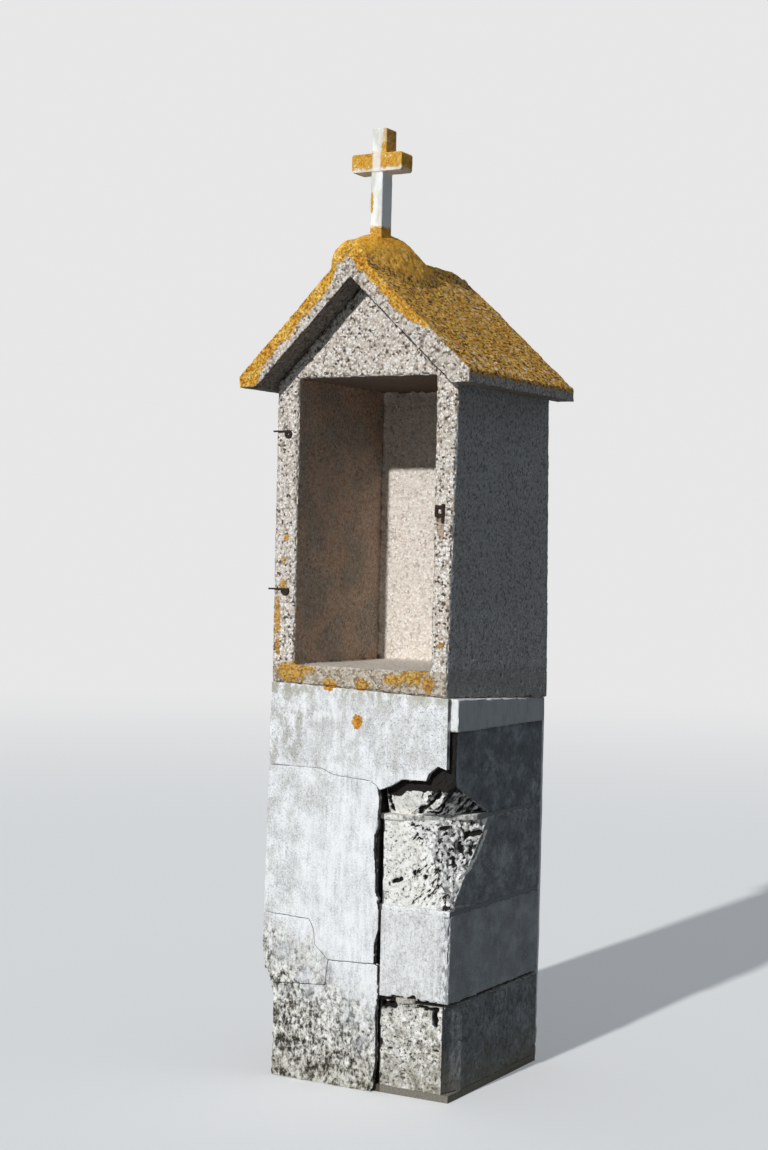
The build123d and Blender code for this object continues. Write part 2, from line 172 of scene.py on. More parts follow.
class Finish:
    """One material of the shrine. Its sizes are millimetres, its places metres on the object."""

    def __init__(self, name):
        self.material = bpy.data.materials.new(name)
        self.material.use_nodes = True
        self.tree = self.material.node_tree
        self.shader = self.tree.nodes["Principled BSDF"]
        self.place = self.node("ShaderNodeTexCoord").output("Object")
        self.facing = self.place.output("Normal")
        self.x, self.y, self.z = self.axes(self.place)
        self.right, self.rear, self.up = self.axes(self.facing)
        self.ragged = self.clouds(10, detail=4, rough=0.6) - 0.5
        self.bent = self.bend(6, 8)
        self.hollow = self.attribute("hollow")
        self.broken = self.attribute("broken")

    def node(self, kind, settings=None, values=None, output=0):
        """Adds a node: its settings first, then the values or links of its sockets."""
        node = self.tree.nodes.new(kind)
        for name, setting in (settings or {}).items():
            if name == "stops":
                self.set_stops(node.color_ramp, setting)
            else:
                setattr(node, name, setting)
        for name, value in (values or {}).items():
            self.feed(node.inputs[name], value)
        return Value(self, node.outputs[output])

    def set_stops(self, ramp, stops):
        while len(ramp.elements) < len(stops):
            ramp.elements.new(1.0)
        for element, (place, code) in zip(ramp.elements, stops):
            element.position = place
            element.color = hue(code)

    def feed(self, socket, value):
        if isinstance(value, Value):
            self.tree.links.new(value.socket, socket)
        else:
            socket.default_value = value

    def attribute(self, name):
        """A number that the piece carries at each of its points."""
        return self.node("ShaderNodeAttribute", {"attribute_name": name}, output="Fac")

    def sum(self, operation, first, second=0.0):
        return self.node("ShaderNodeMath", {"operation": operation}, {0: first, 1: second})

    def vector(self, operation, first, second, output=0):
        return self.node("ShaderNodeVectorMath", {"operation": operation}, {0: first, 1: second}, output)

    def scaled(self, vector, factor):
        """A vector or a colour times a number."""
        return self.node("ShaderNodeVectorMath", {"operation": "SCALE"}, {0: vector, "Scale": factor})

    def axes(self, vector):
        split = self.node("ShaderNodeSeparateXYZ", {}, {0: vector})
        return split, split.output("Y"), split.output("Z")

    def highest(self, *values):
        top = values[0]
        for value in values[1:]:
            top = self.sum("MAXIMUM", top, value)
        return top

    def size_of(self, value):
        return self.sum("ABSOLUTE", value)

    def step(self, value, low, high):
        """0 below low and 1 above high, with a soft change between. It runs down where low is above high."""
        settings = {"interpolation_type": "SMOOTHSTEP"}
        return self.node("ShaderNodeMapRange", settings, {"Value": value, "From Min": low, "From Max": high})

    def within(self, value, low, high, soft=0.005):
        """1 between two levels and 0 beyond them."""
        return self.step(value, low - soft, low + soft) * self.step(value, high + soft, high - soft)

    def share(self, number, part):
        """1 on the grains whose own number lies under a share."""
        return self.step(number - part, 0.012, -0.012)

    def clouds(self, size, detail=3.0, stretch=(1, 1, 1), shift=0.0, rough=0.55, lean=0.0):
        """Noise from 0 to 1 with lumps of about this size, drawn out by stretch and leaning to the right."""
        place = self.place
        if lean:
            turned = {"Vector": place, "Angle": -lean}
            place = self.node("ShaderNodeVectorRotate", {"rotation_type": "Y_AXIS"}, turned)
        pulled = self.vector("MULTIPLY", place, tuple(1 / pull for pull in stretch))
        moved = self.vector("ADD", pulled, (shift, -1.7 * shift, 0.6 * shift))
        values = {"Vector": moved, "Scale": 1000 / size, "Detail": detail, "Roughness": rough}
        return self.node("ShaderNodeTexNoise", {}, values)

    def bend(self, reach, size):
        """The place, pushed about by half of reach at most, so that grains lose their even outline."""
        values = {"Vector": self.place, "Scale": 1000 / size, "Detail": 2.0}
        push = self.node("ShaderNodeTexNoise", {}, values, "Color")
        centred = self.vector("SUBTRACT", push, (0.5, 0.5, 0.5))
        return self.vector("ADD", self.place, self.scaled(centred, reach / 1000))

    def grains(self, size, shift=0.0, stretch=(1, 1, 1)):
        """Uneven grains: how far a point is from its grain's middle, and two numbers of the grain's own."""
        pulled = self.vector("MULTIPLY", self.bent, tuple(1 / pull for pull in stretch))
        moved = self.vector("ADD", pulled, (shift, 0.4 * shift, -shift))
        grain = self.node("ShaderNodeTexVoronoi", {}, {"Vector": moved, "Scale": 1000 / size})
        own = self.node("ShaderNodeSeparateColor", {}, {0: grain.output("Color")})
        return grain, own, own.output("Green")

    def ramp(self, value, *stops, steps=False):
        ramp = self.node("ShaderNodeValToRGB", {"stops": stops}, {0: value})
        if steps:
            ramp.socket.node.color_ramp.interpolation = "CONSTANT"
        return ramp

    def cover(self, under, over, mask):
        """One colour laid over another where the mask says."""
        over = hue(over) if isinstance(over, str) else over
        under = hue(under) if isinstance(under, str) else under
        return self.node("ShaderNodeMix", {"data_type": "RGBA"}, {0: mask, 6: under, 7: over}, 2)

    def patch(self, centre, reach, ragged=1.0):
        """A ragged patch round a point, 1 inside and 0 outside."""
        away = self.vector("SUBTRACT", self.place, centre)
        ratio = self.vector("DIVIDE", away, reach)
        length = self.node("ShaderNodeVectorMath", {"operation": "LENGTH"}, {0: ratio}, "Value")
        return self.step(length + self.ragged * ragged, 1.08, 0.84)

    def patches(self, places, ragged=1.0):
        return self.highest(*[self.patch(centre, reach, ragged) for centre, reach in places])

    def finish(self, colour, roughness, relief, gloss=0.2):
        """Sets the surface: its colour, its roughness and its relief in millimetres."""
        self.feed(self.shader.inputs["Base Color"], colour)
        self.feed(self.shader.inputs["Roughness"], roughness)
        self.shader.inputs["Specular IOR Level"].default_value = gloss
        bump = self.node("ShaderNodeBump", {}, {"Height": relief, "Distance": 0.001})
        self.feed(self.shader.inputs["Normal"], bump)
        return self.material


def washed_concrete(paint, dark):
    """Washed concrete: uneven pale stones, a share of dark ones and dark pits. Gives colour and relief."""
    middle, own, tint = paint.grains(6.8)
    pale = paint.ramp(tint, (0.0, "e2d7cb"), (0.16, "f1ebe3"), (0.33, "d8cdc1"), (0.46, "faf6f0"),
                      (0.62, "e8dacd"), (0.76, "fffcf7"), (0.9, "cfc2b5"), steps=True)
    colour = paint.cover(pale, "a99d90", paint.share(own, dark * 1.5 + 0.10))
    colour = paint.cover(colour, "554b42", paint.share(own, dark))
    fine = paint.clouds(2.4, detail=2)
    colour = paint.scaled(colour, 0.84 + fine * 0.32)
    gaps = paint.step(middle, 0.36, 0.62)
    colour = paint.cover(colour, "978b7f", gaps * 0.42)
    spots = paint.step(paint.clouds(6.5, detail=3, shift=4.6, rough=0.6), 0.63, 0.68)
    # Painted shade: the pits and the hollows of the worn surface are darkened.
    pits = paint.highest(spots, paint.hollow)
    colour = paint.cover(colour, "3a322b", pits * 0.9)
    relief = fine * 0.5 - gaps * 0.9 - spots * 1.6 + own * 0.5
    return colour, relief


def lichen(paint, specked=1.0, stretch=(1, 1, 1)):
    """A crust of orange lichen: golden lobes, brown drifts and dark specks. Gives colour and relief."""
    lobes = paint.clouds(10, detail=5, stretch=stretch, shift=1.3, rough=0.68)
    drift = paint.clouds(48, detail=3, shift=2.9)
    tone = lobes * 0.74 + drift * 0.26
    colour = paint.ramp(tone, (0.34, "94591a"), (0.42, "c07f22"), (0.49, "d99f34"), (0.56, "e6b650"), (0.66, "f4d892"))
    specks = paint.step(paint.clouds(7.5, detail=3, stretch=stretch, shift=7.1, rough=0.64), 0.515, 0.575)
    colour = paint.cover(colour, "3a2511", specks * 0.92 * specked)
    glints = paint.step(paint.clouds(5.5, detail=3, stretch=stretch, shift=3.9, rough=0.62), 0.58, 0.65)
    colour = paint.cover(colour, "f7dfae", glints * 0.55 * specked)
    return colour, lobes * 2.0 - specks * 1.5


def limewash(paint):
    """Limewash, mottled and faintly streaked, thin in places. Gives colour, tone and fine grain."""
    streaks = paint.clouds(9, detail=2, stretch=(1, 1, 9), shift=0.7)
    mottles = paint.clouds(66, detail=7, stretch=(1, 1, 1.3), shift=3.7, rough=0.7)
    fine = paint.clouds(4.5, detail=3, shift=4.4, rough=0.62)
    tone = streaks * 0.20 + mottles * 0.42 + fine * 0.38
    colour = paint.ramp(tone, (0.36, "acadae"), (0.43, "cfd0d1"), (0.49, "e4e6e7"), (0.56, "f2f4f5"))
    return colour, tone, fine


def niche_finish():
    paint = Finish("pebbled_concrete")
    across = paint.size_of(paint.x)
    inside = (paint.step(across, INSIDE_HALF + 0.02, INSIDE_HALF + 0.015)
              * paint.step(paint.y, FRONT + 0.003, FRONT + 0.008)
              * paint.step(paint.y, INSIDE_BACK + 0.02, INSIDE_BACK + 0.015)
              * paint.step(paint.z, FLOOR - 0.015, FLOOR - 0.01)
              * paint.step(paint.z, CEILING + 0.02, CEILING + 0.015))
    at_back = inside * paint.step(paint.rear, -0.5, -0.8)
    sill = paint.step(paint.z, FLOOR + 0.004, FLOOR - 0.004) * (1 - inside)
    drift = paint.clouds(150, detail=3, shift=0.3)
    dark = 0.085 + sill * 0.07 - inside * 0.05 + (drift - 0.5) * 0.18
    colour, relief = washed_concrete(paint, dark)
    colour = paint.scaled(colour, 0.86 + drift * 0.28)
    colour = paint.cover(colour, "f7eee2", at_back * 0.5)
    colour = paint.cover(colour, "a6977c", sill * 0.5)

    floor = inside * paint.step(paint.up, 0.5, 0.8)
    colour = paint.cover(colour, "d9d0c3", floor * 0.55)
    ceiling = inside * paint.step(paint.up, -0.5, -0.8)
    # Inner side walls and ceiling: a warm brown that is partly a dirty film and partly painted shade lit by warm
    # bounced light.
    dusty_and_shaded = inside * (1 - at_back) * (1 - floor)
    dust_and_shade = paint.cover("a98a73", "86796b", paint.step(paint.clouds(120, shift=5.0), 0.4, 0.6))
    colour = paint.cover(colour, dust_and_shade, dusty_and_shaded * 0.72)
    # Painted shade: the ceiling inside the niche is darkened.
    colour = paint.cover(colour, "55463a", ceiling * 0.75)
    # Painted shade: the outer right side is darker and bluish.
    shaded_outer_side = paint.step(paint.right, 0.6, 0.85) * (1 - inside)
    colour = paint.cover(colour, "7b8187", shaded_outer_side * 0.68)
    under_eave = paint.step(paint.z, WALL_HIGH.z - 0.07, WALL_HIGH.z - 0.02) * paint.step(across, 0.26, 0.28)
    colour = paint.cover(colour, "57502c", under_eave * paint.step(paint.ragged, -0.2, 0.1) * 0.7)

    crust, crust_relief = lichen(paint, 0.7)
    holes = paint.step(paint.clouds(7, detail=3, shift=8.8), 0.30, 0.40)
    grown = paint.patches(SILL_LICHEN + JAMB_LICHEN, 2.0) * holes
    colour = paint.cover(colour, paint.cover(crust, "b98a35", 0.3), grown * 0.92)
    stain = paint.patch(RUST_STAIN[0], RUST_STAIN[1], 1.6)
    colour = paint.cover(colour, "84603a", stain * 0.5)
    return paint.finish(colour, 0.92, relief + grown * crust_relief)


def roof_finish():
    paint = Finish("roof_lichen")
    drift = paint.clouds(70, detail=3, shift=6.1)
    stone, stone_relief = washed_concrete(paint, 0.13 + (drift - 0.5) * 0.2)
    from_ridge = paint.x - RIDGE_X
    below = RIDGE - paint.highest(from_ridge * RIGHT_SLOPE, from_ridge * -LEFT_SLOPE) - paint.z
    heap = paint.step(below, -0.008, -0.026)
    rim = paint.step(paint.size_of(paint.rear), 0.35, 0.6)
    crust, crust_relief = lichen(paint, 1 - paint.highest(heap * 0.72, rim * 0.5), ROOF_STRETCH)

    # Stones that show through the crust, more of them near the eaves and in one worn patch
    _, own, tint = paint.grains(8.0, shift=7.7, stretch=ROOF_STRETCH)
    eave = paint.step(paint.size_of(paint.x), 0.255, 0.36)
    worn = paint.patches(WORN_PATCHES, 1.6)
    bare_share = 0.075 + eave * 0.17 + worn * 0.30 + (drift - 0.5) * 0.36 - heap * 0.14
    bare = paint.share(own, bare_share)
    pebble = paint.ramp(tint, (0.0, "e2bf92"), (0.28, "b0936c"), (0.45, "f2e0c4"), (0.64, "cf9748"), (0.8, "574029"),
                        steps=True)
    upper = paint.step(paint.up, 0.3, 0.55)
    slope_cover = upper * (1 - bare)

    # How far the crust hangs down over the front and back edges, and over the eaves
    left = paint.step(paint.x, APEX_LEFT + 0.002, APEX_LEFT - 0.002)
    right_reach = 0.036 - paint.step(paint.x, 0.19, 0.27) * 0.05
    left_reach = 0.048 + paint.step(paint.x, -0.28, -0.335) * 0.06
    apex = paint.within(paint.x, APEX_LEFT, APEX_RIGHT, 0.012)
    reach = right_reach * (1 - left) + left_reach * left - apex * 0.026
    hanging = paint.step(below - reach - (drift - 0.5) * 0.07 - paint.ragged * 0.035, 0.004, -0.004)
    side = paint.step(paint.size_of(paint.right), 0.75, 0.9)
    eave_top = ROOF_LOW.z + EAVE_EDGE
    over_eave = paint.step(paint.z - eave_top + paint.ragged * 0.05 + left * 0.03, -0.016, -0.006)
    under = paint.step(paint.up, -0.3, -0.6)
    grown = paint.highest(slope_cover * (1 - rim), rim * hanging, side * over_eave * 0.95)
    grown = grown * paint.step(paint.up, -0.4, -0.2)

    stone = paint.scaled(stone, 0.84 + drift * 0.3)
    stone = paint.cover(stone, "b9aea1", 0.2)
    stone = paint.cover(stone, pebble, upper * bare * (1 - rim))
    # Painted shade: the side faces of the eaves are bluish grey.
    stone = paint.cover(stone, "59626b", side * 0.5)
    # Painted shade: the underside of the roof is darkened.
    stone = paint.cover(stone, "4c443a", under * 0.75)
    # The crust on the mound is brighter and more golden: partly its own gold lichen, partly painted light.
    crust = paint.scaled(crust, 1.06 + heap * 0.34)
    gold_and_light = heap * paint.step(paint.clouds(26, detail=3, shift=9.9), 0.66, 0.42)
    gold_and_lit_crust = paint.cover(crust, "fdb838", gold_and_light * 0.68)
    colour = paint.cover(stone, gold_and_lit_crust, grown)
    pale_edge = heap * paint.within(paint.x, RIDGE_X - 0.09, RIDGE_X - 0.03, 0.01) * paint.step(paint.ragged, -0.1, 0.1)
    colour = paint.cover(colour, "ead7a6", pale_edge * 0.45)
    relief = stone_relief * (1 - grown * 0.6) + grown * crust_relief + bare * 1.2
    return paint.finish(colour, 0.93, relief)


def coat_finish():
    """The render: streaked and clean on the sheet, worn grey on the band, pitted and dirty at its foot."""
    paint = Finish("worn_render")
    colour, tone, fine = limewash(paint)
    mottles = paint.clouds(60, detail=5, shift=8.1, rough=0.65)
    front = paint.step(paint.rear, -0.5, -0.8)
    band = paint.step(paint.z, BAND_LOW.z + 0.045, BAND_LOW.z + 0.07)
    worn = paint.clouds(40, detail=6, stretch=(1, 1, 1.8), shift=1.9, rough=0.72)
    grey = paint.ramp(fine, (0.35, "9b9c98"), (0.5, "babab4"), (0.65, "d2d2cd"))
    left_edge = paint.step(paint.x + (mottles - 0.5) * 0.35, -0.12, -0.24) * front
    greyed = paint.step(worn, 0.43, 0.62) * (0.06 + band * 0.58 + left_edge * 0.55)
    stained = front * paint.patches(BAND_STAINS, 3.0) * paint.step(worn, 0.34, 0.60)
    colour = paint.cover(colour, grey, paint.highest(greyed, stained * 0.6))
    colour = paint.cover(colour, "f4f5f4", front * paint.patches(BAND_WHITES, 2.6) * paint.step(worn, 0.6, 0.4) * 0.8)
    specks = paint.step(paint.clouds(6, detail=4, shift=6.2, rough=0.7), 0.55, 0.64)
    speckled = band * paint.step(paint.x + paint.ragged * 0.1, -0.05, 0.12) * front
    colour = paint.cover(colour, "77797a", specks * (speckled * 0.45 + left_edge * 0.4 + band * 0.1 + 0.1))
    olive = paint.step(paint.z, BAND_HIGH.z - 0.06, BAND_HIGH.z - 0.015) * paint.step(worn, 0.42, 0.56)
    colour = paint.cover(colour, "a7a28c", olive * 0.6)

    foot = paint.step(paint.z + paint.x * 0.6 + (mottles - 0.5) * 0.6, 0.36, 0.08)
    low = paint.step(paint.z + (worn - 0.5) * 0.4, 0.16, 0.0)
    crumbs = paint.clouds(11, detail=6, stretch=(1, 1, 1.5), shift=2.2, rough=0.78) * 0.72 + mottles * 0.28
    dirt = paint.ramp(crumbs, (0.41, "f3f3f0"), (0.47, "d3d1c9"), (0.51, "938f83"), (0.56, "46423a"))
    colour = paint.cover(colour, dirt, foot * 0.93)
    colour = paint.cover(colour, "99937f", low * 0.35)
    pitted = paint.step(crumbs, 0.54, 0.58) * foot
    # Painted shade: the pits at the foot and the rims along the cracks are darkened.
    pits = paint.highest(pitted, paint.hollow)
    colour = paint.cover(colour, "2b2822", pits * 0.9)

    crust, crust_relief = lichen(paint, 0.6)
    # Painted shade: the coat's edge facing the open joint is near-black.
    shaded_joint_edge = paint.step(paint.right, 0.3, 0.6) * paint.step(paint.x, GAP_RIGHT + 0.01, GAP_RIGHT) * (1 - pits)
    colour = paint.cover(colour, "34302a", shaded_joint_edge * paint.step(paint.z, BROKEN_EDGE_TOP, BROKEN_EDGE_TOP - 0.02) * 0.96)
    grown = paint.patches((BAND_LICHEN, *SILL_LICHEN), 1.2)
    colour = paint.cover(colour, paint.cover(crust, "c9761c", 0.35), grown)
    relief = fine * 0.6 + tone * 1.0 - pits * 1.5 - greyed * 0.6 + grown * crust_relief * 0.6
    return paint.finish(colour, 0.9, relief)


def block_finish():
    """Concrete block: limewashed on course 2, cream and pitted on 3 and 4, rough on 1, paler on the breaks."""
    paint = Finish("block_concrete")
    lime, tone, fine = limewash(paint)
    middle, own, tint = paint.grains(5.0, shift=9.4)
    first, second, third = COURSE_TOPS[:3]
    wash_top = second + 0.014
    in_first = paint.step(paint.z, first + 0.006, first)
    in_second = paint.within(paint.z + paint.ragged * 0.04, first + 0.006, wash_top, 0.012)
    in_third = paint.within(paint.z + paint.ragged * 0.04, wash_top, third + 0.006, 0.012)
    in_fourth = paint.step(paint.z, third + 0.004, third + 0.009)
    broken = (in_third + in_fourth) * paint.broken
    side = paint.step(paint.right, 0.4, 0.75) * (1 - broken)
    worn = paint.clouds(18, detail=6, shift=5.7, rough=0.74)
    patchy = paint.step(paint.clouds(46, detail=5, shift=0.9, rough=0.7), 0.46, 0.58)
    bare = paint.ramp(worn, (0.36, "625e54"), (0.43, "a9a599"), (0.50, "e4e1d8"), (0.57, "fffdf9"))
    cream = paint.ramp(worn, (0.34, "bebbb1"), (0.42, "e2e0d8"), (0.50, "f2f1ec"), (0.60, "fcfbf8"))
    colour = paint.cover(bare, cream, paint.highest(in_third, in_fourth))
    colour = paint.cover(colour, lime, in_second * 0.92)
    colour = paint.cover(colour, "b9b9b5", in_second * paint.step(worn, 0.50, 0.62) * 0.6)
    colour = paint.cover(colour, "8e8b81", in_first * patchy * 0.45)
    grains = paint.ramp(tint, (0.0, "7f7b72"), (0.3, "b9b5aa"), (0.7, "f8f5ee"), steps=True)
    colour = paint.cover(colour, grains, 0.18 - in_second * 0.1)

    # The right side is painted greyer and bluish: partly bare concrete with faint remains of limewash that run down in
    # streaks, partly painted shade
    streaks = paint.clouds(60, detail=3, stretch=(1, 1.3, 1), shift=2.4) * 0.5 + worn * 0.3 + fine * 0.2
    bare_and_shaded = paint.ramp(streaks, (0.40, "454b50"), (0.5, "636a70"), (0.60, "8b9399"))
    colour = paint.cover(colour, bare_and_shaded, side * (in_fourth * 0.95 + in_third * 0.88 + in_first * 0.85 + in_second * 0.7))
    # Painted shade: the chip on the corner of course 1 is darkened.
    shaded_chip = in_first * paint.step(paint.right, 0.3, 0.6) * paint.step(paint.y, BLOCK_FACE + 0.06, BLOCK_FACE + 0.03)
    colour = paint.cover(colour, "34373a", shaded_chip * 0.7)
    marks = paint.clouds(7, detail=4, stretch=(1, 1, 3.5), shift=7.3, rough=0.66)
    corner = paint.step(paint.x + paint.ragged * 0.03, 0.262, 0.284)
    scratched = in_second * (1 - side) * paint.highest(paint.step(marks, 0.57, 0.64) * 0.32,
                                                       paint.step(marks, 0.48, 0.55) * corner * 0.75)
    colour = paint.cover(colour, "6f7376", scratched)
    smudged = in_third * paint.patches(SIDE_LIME, 2.6) + in_fourth * paint.patches(SIDE_OVAL, 2.6)
    colour = paint.cover(colour, "bfc2c4", side * smudged * paint.step(streaks, 0.42, 0.6) * 0.4)
    colour = paint.cover(colour, "f8f7f3", broken * paint.step(worn, 0.30, 0.46) * 0.85)
    # Painted shade: the right end of the break on course 4 is darkened.
    colour = paint.cover(colour, "474a4c", broken * in_fourth * paint.step(paint.x, 0.256, 0.272) * 0.9)

    # Splits that lean to the right on the breaks and beside them
    beside = paint.step(paint.x + paint.ragged * 0.1, 0.13, 0.245) * (in_third + in_fourth) * (1 - side)
    splits = paint.clouds(13, detail=5, stretch=(1, 1, 3.2), shift=6.6, rough=0.66, lean=SPLIT_LEAN)
    near = paint.highest(broken, beside)
    split = paint.step(splits + near * 0.1, 0.635, 0.675) * paint.step(near, 0.0, 0.2)
    colour = paint.cover(colour, "fdfcf8", paint.step(splits, 0.49, 0.44) * beside * 0.7)
    # Painted highlight: the ridges and lips of the breaks are near white.
    colour = paint.cover(colour, "fffefa", paint.step(paint.hollow, -0.15, -0.5) * 0.9)

    pitted = paint.step(paint.clouds(8.5, detail=4, shift=1.1, rough=0.7), 0.565, 0.63)
    pit_strength = in_first * 0.9 + in_second * 0.22 + in_third * 0.62 + in_fourth * 0.45
    on_lip = paint.step(paint.hollow, -0.1, -0.3)
    # Painted shade: pits, splits, crevices and the hollow under the coat are darkened.
    pits = paint.highest(pitted * pit_strength * (1 - side * 0.7), split * (1 - on_lip), paint.step(paint.hollow, 0.1, 0.45))
    colour = paint.cover(colour, "1d1a16", pits * 0.99)
    dirt = paint.step(paint.z + (worn - 0.5) * 0.3, 0.16, 0.02)
    colour = paint.cover(colour, "857d6a", dirt * 0.45)
    relief = fine * 0.7 + own * 0.4 - pitted * pit_strength * 1.8 - split * 2.5 - paint.step(middle, 0.4, 0.6) * 0.3
    return paint.finish(colour, 0.93, relief)


def gap_shade_finish():
    """The left blocks: painted near-black shade in the open joint, bare and pitted on the left, under the coat's end.
    """
    paint = Finish("left_block")
    gap_mottle = paint.clouds(20, detail=4, shift=3.3)
    gap_shade = paint.ramp(gap_mottle, (0.35, "14110e"), (0.5, "221d18"), (0.65, "332c25"))
    outside = paint.step(paint.right, -0.4, -0.7)
    worn = paint.clouds(18, detail=6, shift=5.7, rough=0.74)
    bare = paint.ramp(worn, (0.36, "625e54"), (0.43, "a39f93"), (0.50, "d6d3c9"), (0.57, "f2efe8"))
    pitted = paint.step(paint.clouds(8.5, detail=4, shift=1.1, rough=0.7), 0.565, 0.63) * outside
    bare = paint.cover(bare, "2b2822", pitted * 0.85)
    dirt = paint.step(paint.z + (worn - 0.5) * 0.3, 0.16, 0.02)
    bare = paint.cover(bare, "857d6a", dirt * 0.45)
    colour = paint.cover(gap_shade, bare, outside)
    return paint.finish(colour, 0.95, gap_mottle * 3 + worn * outside * 3 - pitted * 1.8)


def mortar_finish():
    """Mortar: limewashed on the joints above and on the levelling bed, with painted near-black shade where joint 1 has
    fallen out and in the open joint.
    """
    paint = Finish("bed_mortar")
    lime, tone, fine = limewash(paint)
    sand = paint.clouds(5, detail=4, shift=2.0, rough=0.66)
    bare = paint.ramp(sand, (0.34, "8f8b81"), (0.5, "b5b1a6"), (0.66, "d3cfc5"))
    cream = paint.ramp(sand, (0.34, "bdbab0"), (0.45, "dad8cf"), (0.6, "efeee9"))
    side = paint.step(paint.right, 0.6, 0.85)
    high = paint.step(paint.z, BED_LOW.z - 0.004, BED_LOW.z + 0.01)
    joints = paint.step(paint.z, COURSE_TOPS[1] - 0.03, COURSE_TOPS[1] - 0.01) * (1 - high)
    colour = paint.cover(bare, cream, joints)
    colour = paint.cover(colour, lime, joints * paint.step(paint.z, COURSE_TOPS[1] + 0.04, COURSE_TOPS[1] + 0.03) * 0.8)
    colour = paint.cover(colour, lime, high * paint.step(tone, 0.34, 0.5) * 0.95)
    # Painted shade: the right-facing sides of the joints and the bed are bluish grey.
    colour = paint.cover(colour, "6b7073", side * joints * 0.9)
    colour = paint.cover(colour, "8d9397", side * high * 0.7)
    # Painted shade: pits in the joints are darkened.
    pitted = paint.step(paint.clouds(8.5, detail=4, shift=1.1, rough=0.7), 0.565, 0.63) * joints * (1 - side)
    colour = paint.cover(colour, "1d1a16", pitted * 0.6)
    # Painted shade: where joint 1 has fallen out, on its right side, and in the open joint the mortar is near-black.
    first_joint = paint.within(paint.z, COURSE_TOPS[0] - 0.012, COURSE_TOPS[0] + 0.024)
    fallen = first_joint * paint.step(paint.rear, -0.4, -0.7) * paint.step(paint.y, JOINT_MORTAR, JOINT_MORTAR + 0.006)
    colour = paint.cover(colour, "1f1b16", paint.highest(fallen, first_joint * side * 0.8))
    in_gap = paint.within(paint.x, GAP_LEFT - 0.002, GAP_RIGHT + 0.002, 0.002)
    colour = paint.cover(colour, "1f1b16", in_gap * 0.9)
    colour = paint.cover(colour, "5d574b", paint.step(paint.z, 0.03, 0.02) * 0.7)
    return paint.finish(colour, 0.94, sand * 1.6 + fine)


def cross_finish():
    paint = Finish("cross_stone")
    wash = paint.clouds(30, detail=3, stretch=(1, 1, 3), shift=1.0)
    stone = paint.ramp(wash, (0.35, "d9d9d1"), (0.5, "f3f4ef"), (0.65, "fbfcfa"))
    crust, crust_relief = lichen(paint, 0.35)
    crust = paint.cover(crust, "dba63c", 0.35)
    across = paint.size_of(paint.x - CROSS_MIDDLE)
    arms = paint.within(paint.z, ARM_LOW - 0.002, ARM_TOP + 0.006, 0.004)
    strip = paint.step(across, 0.017, 0.008) * paint.step(paint.rear, -0.5, -0.8)
    lower_edge = paint.step(paint.z + paint.ragged * 0.03, ARM_LOW + 0.014, ARM_LOW + 0.004)
    foot = paint.step(paint.z + paint.ragged * 0.03, CROSS_FOOT + 0.012, CROSS_FOOT)
    side = paint.step(paint.right, 0.5, 0.8)
    head = paint.step(paint.z + paint.ragged * 0.02, ARM_TOP, ARM_TOP + 0.01)
    head_front = head * paint.step(paint.x - CROSS_MIDDLE + paint.ragged * 0.03, 0.014, 0.024)
    arm_cover = arms * (1 - strip * 0.75) * (1 - lower_edge * 0.75)
    grown = paint.highest(arm_cover, foot, head * side * 0.95, head_front * 0.7, paint.patches(CROSS_LICHEN, 0.9))
    grown = grown * paint.step(paint.clouds(9, detail=3, shift=5.5), 0.30, 0.38)
    # Painted shade: the right side of the post below the arms is tinted bluish.
    grey = paint.cover(stone, "e3edf4", side * paint.step(paint.z, ARM_LOW, ARM_LOW - 0.01) * 0.8)
    colour = paint.cover(grey, crust, grown)
    relief = paint.clouds(4, detail=3) * 0.7 + grown * crust_relief * 0.5
    return paint.finish(colour, 0.88, relief)


def iron_finish():
    paint = Finish("rusty_iron")
    scale = paint.clouds(4, detail=4, rough=0.6)
    colour = paint.ramp(scale, (0.3, "15110f"), (0.5, "281c16"), (0.62, "43291a"), (0.78, "643b20"))
    material = paint.finish(colour, 0.72 + scale * 0.2, scale * 0.8, gloss=0.4)
    paint.shader.inputs["Metallic"].default_value = 0.25
    return material


# Patches that grow or show on the faces: a middle and how far each reaches, in metres
ANY_DEPTH = 0.05
SILL_LICHEN = (((-0.222, FRONT, 1.150), (0.050, ANY_DEPTH, 0.030)), ((-0.180, FRONT, 1.158), (0.036, ANY_DEPTH, 0.011)),
               ((-0.097, FRONT, 1.120), (0.022, ANY_DEPTH, 0.019)), ((0.006, FRONT, 1.125), (0.022, ANY_DEPTH, 0.019)),
               ((0.108, FRONT, 1.142), (0.036, ANY_DEPTH, 0.018)), ((0.162, FRONT, 1.150), (0.042, ANY_DEPTH, 0.022)),
               ((0.212, FRONT, 1.134), (0.020, ANY_DEPTH, 0.022)), ((0.188, FRONT, 1.166), (0.028, ANY_DEPTH, 0.010)))
JAMB_LICHEN = (((-0.277, FRONT, 1.300), (0.011, ANY_DEPTH, 0.056)), ((-0.274, FRONT, 1.222), (0.010, ANY_DEPTH, 0.026)),
               ((-0.252, FRONT, 1.530), (0.009, ANY_DEPTH, 0.010)), ((-0.260, FRONT, 1.394), (0.014, ANY_DEPTH, 0.015)),
               ((-0.258, FRONT, 1.465), (0.007, ANY_DEPTH, 0.010)), ((0.248, FRONT, 1.244), (0.010, ANY_DEPTH, 0.010)))
BAND_LICHEN = ((-0.002, COAT_FACE, 1.021), (0.018, ANY_DEPTH, 0.021))
